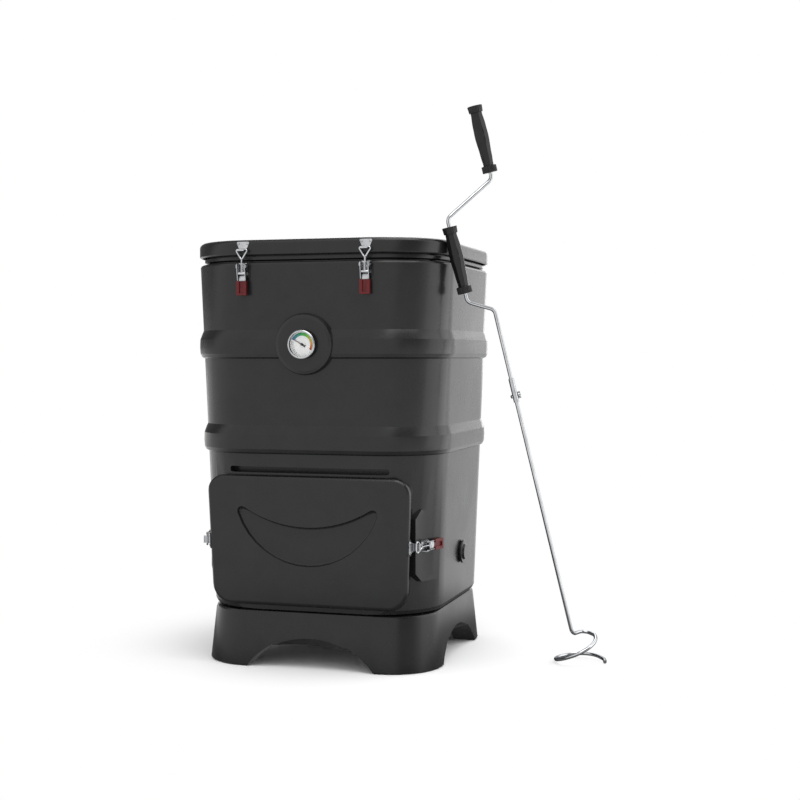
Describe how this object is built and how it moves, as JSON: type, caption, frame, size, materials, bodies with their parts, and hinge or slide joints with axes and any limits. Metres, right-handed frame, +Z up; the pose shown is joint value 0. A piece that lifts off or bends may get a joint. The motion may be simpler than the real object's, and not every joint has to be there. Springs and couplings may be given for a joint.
{
  "type": "compost bin with lid",
  "caption": "Square insulated compost bin on a moulded stand, with a latched hinged lid, a front hatch, a dial thermometer and a cranked hand aerator leaning on it.",
  "frame": {"origin": "centre of the bounding box's footprint, on the ground, with the aerator tool leaning on the bin", "axes": "+Z up, -Y the front with the hatch, +X the side with the plug and the tool"},
  "size_m": [0.8426, 0.5802, 1.136],
  "materials": {
    "black_plastic": "satin",
    "inner_plastic": "matte",
    "foam": "matte",
    "black_rubber": "matte",
    "stainless": "polished",
    "red_vinyl": "gloss",
    "dial": "satin",
    "lens": "gloss",
    "pointer": "satin",
    "grip_plastic": "satin"
  },
  "bodies": {
    "bin": {"door_throat": "inner_plastic", "thermometer_case": "stainless", "thermometer_dial": "dial", "thermometer_lens": "lens", "thermometer_stem": "stainless", "thermometer_nut": "stainless", "latch_lid_left_base": "stainless", "latch_lid_right_base": "stainless", "latch_door_left_base": "stainless", "latch_door_right_base": "stainless", "base_stand": "black_plastic", "body_outer_shell": "black_plastic", "body_insulation": "foam", "body_inner_liner": "inner_plastic", "aeration_floor": "inner_plastic", "hinge_left_body_leaf": "stainless", "hinge_left_pin": "stainless", "hinge_right_body_leaf": "stainless", "hinge_right_pin": "stainless"},
    "lid": {"latch_lid_left_strike": "stainless", "latch_lid_right_strike": "stainless", "lid_cover": "black_plastic", "lid_insulation": "foam", "lid_inner_pan": "inner_plastic", "lid_seal": "black_rubber", "hinge_left_lid_leaf": "stainless", "hinge_right_lid_leaf": "stainless"},
    "door": {"door_panel": "black_plastic", "door_insulation": "foam", "door_inner_plate": "inner_plastic", "door_seal": "black_rubber", "latch_door_left_strike": "stainless", "latch_door_right_strike": "stainless"},
    "lid_left_lever": {"latch_lid_left_lever": "stainless", "latch_lid_left_grip": "red_vinyl"},
    "lid_left_bail": {"latch_lid_left_bail": "stainless"},
    "lid_right_lever": {"latch_lid_right_lever": "stainless", "latch_lid_right_grip": "red_vinyl"},
    "lid_right_bail": {"latch_lid_right_bail": "stainless"},
    "door_left_lever": {"latch_door_left_lever": "stainless", "latch_door_left_grip": "red_vinyl"},
    "door_left_bail": {"latch_door_left_bail": "stainless"},
    "door_right_lever": {"latch_door_right_lever": "stainless", "latch_door_right_grip": "red_vinyl"},
    "door_right_bail": {"latch_door_right_bail": "stainless"},
    "side_plug": {"side_plug": "black_plastic", "side_plug_seal": "black_rubber"},
    "pointer": {"thermometer_pointer": "pointer"},
    "aerator": {"aerator_auger": "stainless", "aerator_crank": "stainless", "aerator_sleeve": "stainless", "aerator_bolt": "stainless", "aerator_wing_nut": "stainless"},
    "lower_grip": {"aerator_lower_grip": "grip_plastic"},
    "upper_grip": {"aerator_upper_grip": "grip_plastic"}
  },
  "joints": [
    {"name": "lid_hinge", "type": "hinge", "parent": "bin", "child": "lid", "pos_m": [-0.14683, 0.28413, 0.8353], "axis": [-1, 0, 0], "range_deg": [0, 105]},
    {"name": "door_pull", "type": "slide", "parent": "bin", "child": "door", "axis": [0, -1, 0], "range_m": [0, 0.12]},
    {"name": "lid_left_lever_turn", "type": "hinge", "parent": "bin", "child": "lid_left_lever", "pos_m": [-0.27683, -0.27847, 0.8133], "axis": [-1, 0, 0], "range_deg": [0, 90]},
    {"name": "lid_left_bail_turn", "type": "hinge", "parent": "lid_left_lever", "child": "lid_left_bail", "pos_m": [-0.27683, -0.27847, 0.7993], "axis": [-1, 0, 0], "range_deg": [-90, 0]},
    {"name": "lid_right_lever_turn", "type": "hinge", "parent": "bin", "child": "lid_right_lever", "pos_m": [-0.01683, -0.27847, 0.8133], "axis": [-1, 0, 0], "range_deg": [0, 90]},
    {"name": "lid_right_bail_turn", "type": "hinge", "parent": "lid_right_lever", "child": "lid_right_bail", "pos_m": [-0.01683, -0.27847, 0.7993], "axis": [-1, 0, 0], "range_deg": [-90, 0]},
    {"name": "door_left_lever_turn", "type": "hinge", "parent": "bin", "child": "door_left_lever", "pos_m": [-0.38217, -0.20864, 0.256], "axis": [0, 0, 1], "range_deg": [0, 90]},
    {"name": "door_left_bail_turn", "type": "hinge", "parent": "door_left_lever", "child": "door_left_bail", "pos_m": [-0.3865, -0.19532, 0.256], "axis": [0, 0, 1], "range_deg": [-90, 0]},
    {"name": "door_right_lever_turn", "type": "hinge", "parent": "bin", "child": "door_right_lever", "pos_m": [0.08852, -0.20864, 0.256], "axis": [0, 0, -1], "range_deg": [0, 90]},
    {"name": "door_right_bail_turn", "type": "hinge", "parent": "door_right_lever", "child": "door_right_bail", "pos_m": [0.09284, -0.19532, 0.256], "axis": [0, 0, -1], "range_deg": [-90, 0]},
    {"name": "plug_pull", "type": "slide", "parent": "bin", "child": "side_plug", "axis": [0.9994, 0, -0.0359], "range_m": [0, 0.06]},
    {"name": "pointer_turn", "type": "hinge", "parent": "bin", "child": "pointer", "pos_m": [-0.14683, -0.26285, 0.6575], "axis": [0, -0.9994, -0.0359], "range_deg": [-160, 40]},
    {"name": "aerator_lift", "type": "slide", "parent": "bin", "child": "aerator", "axis": [0, 0, 1], "range_m": [0, 0.45]},
    {"name": "lower_grip_spin", "type": "hinge", "parent": "aerator", "child": "lower_grip", "pos_m": [0.14131, -0.16978, 0.8255], "axis": [-0.2082, -0.142, 0.9677], "continuous": true},
    {"name": "upper_grip_spin", "type": "hinge", "parent": "aerator", "child": "upper_grip", "pos_m": [0.18498, -0.13999, 1.06807], "axis": [-0.2082, -0.142, 0.9677], "continuous": true}
  ],
  "couplings": [
    {"joint": "lid_left_bail_turn", "follows": "lid_left_lever_turn", "ratio": -1},
    {"joint": "lid_right_bail_turn", "follows": "lid_right_lever_turn", "ratio": -1},
    {"joint": "door_left_bail_turn", "follows": "door_left_lever_turn", "ratio": -1},
    {"joint": "door_right_bail_turn", "follows": "door_right_lever_turn", "ratio": -1}
  ]
}
